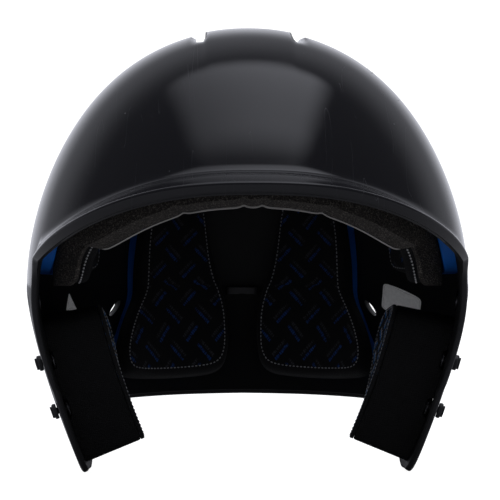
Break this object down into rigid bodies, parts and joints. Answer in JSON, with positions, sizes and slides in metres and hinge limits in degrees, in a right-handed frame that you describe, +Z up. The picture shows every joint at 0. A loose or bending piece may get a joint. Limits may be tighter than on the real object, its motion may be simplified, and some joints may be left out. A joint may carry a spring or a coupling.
{
  "type": "batting helmet",
  "caption": "Hard batting helmet with a front bill, a flap over each ear, crown and rear vents, and a padded foam and fabric lining.",
  "frame": {"origin": "on the floor under the middle of the helmet's box, level with the flap tips", "axes": "+X to the wearer's left, +Y towards the back, +Z up; the bill points to -Y"},
  "size_m": [0.227, 0.284, 0.229],
  "materials": {
    "gloss_black": "polished moulded ABS",
    "brown_foam": "open-cell foam",
    "blue_foam": "smooth closed-cell foam",
    "black_fabric": "knitted fabric over foam, printed",
    "black_foam": "cut foam",
    "dark_steel": "blackened",
    "black_plastic": "satin"
  },
  "bodies": {
    "root": {"shell": "gloss_black", "brow_foam": "brown_foam", "temple_pad_left": "brown_foam", "temple_pad_right": "brown_foam", "brow_facing": "black_fabric", "ear_facing_left": "black_fabric", "ear_facing_right": "black_fabric", "rear_pad_left": "black_fabric", "rear_pad_right": "black_fabric", "side_pad_left": "black_fabric", "side_pad_right": "black_fabric", "crown_pad": "black_fabric", "side_base_left": "blue_foam", "side_base_right": "blue_foam", "rear_base_left": "blue_foam", "rear_base_right": "blue_foam", "crown_base": "blue_foam", "ear_pad_left": "black_foam", "ear_pad_right": "black_foam", "stud_washer_upper_left": "dark_steel", "stud_washer_lower_left": "dark_steel", "mask_insert_left": "dark_steel", "stud_upper_left": "black_plastic", "stud_lower_left": "black_plastic", "mask_plug_left": "black_plastic", "stud_washer_upper_right": "dark_steel", "stud_washer_lower_right": "dark_steel", "mask_insert_right": "dark_steel", "stud_upper_right": "black_plastic", "stud_lower_right": "black_plastic", "mask_plug_right": "black_plastic", "rear_bridge": "black_plastic"}
  },
  "joints": []
}
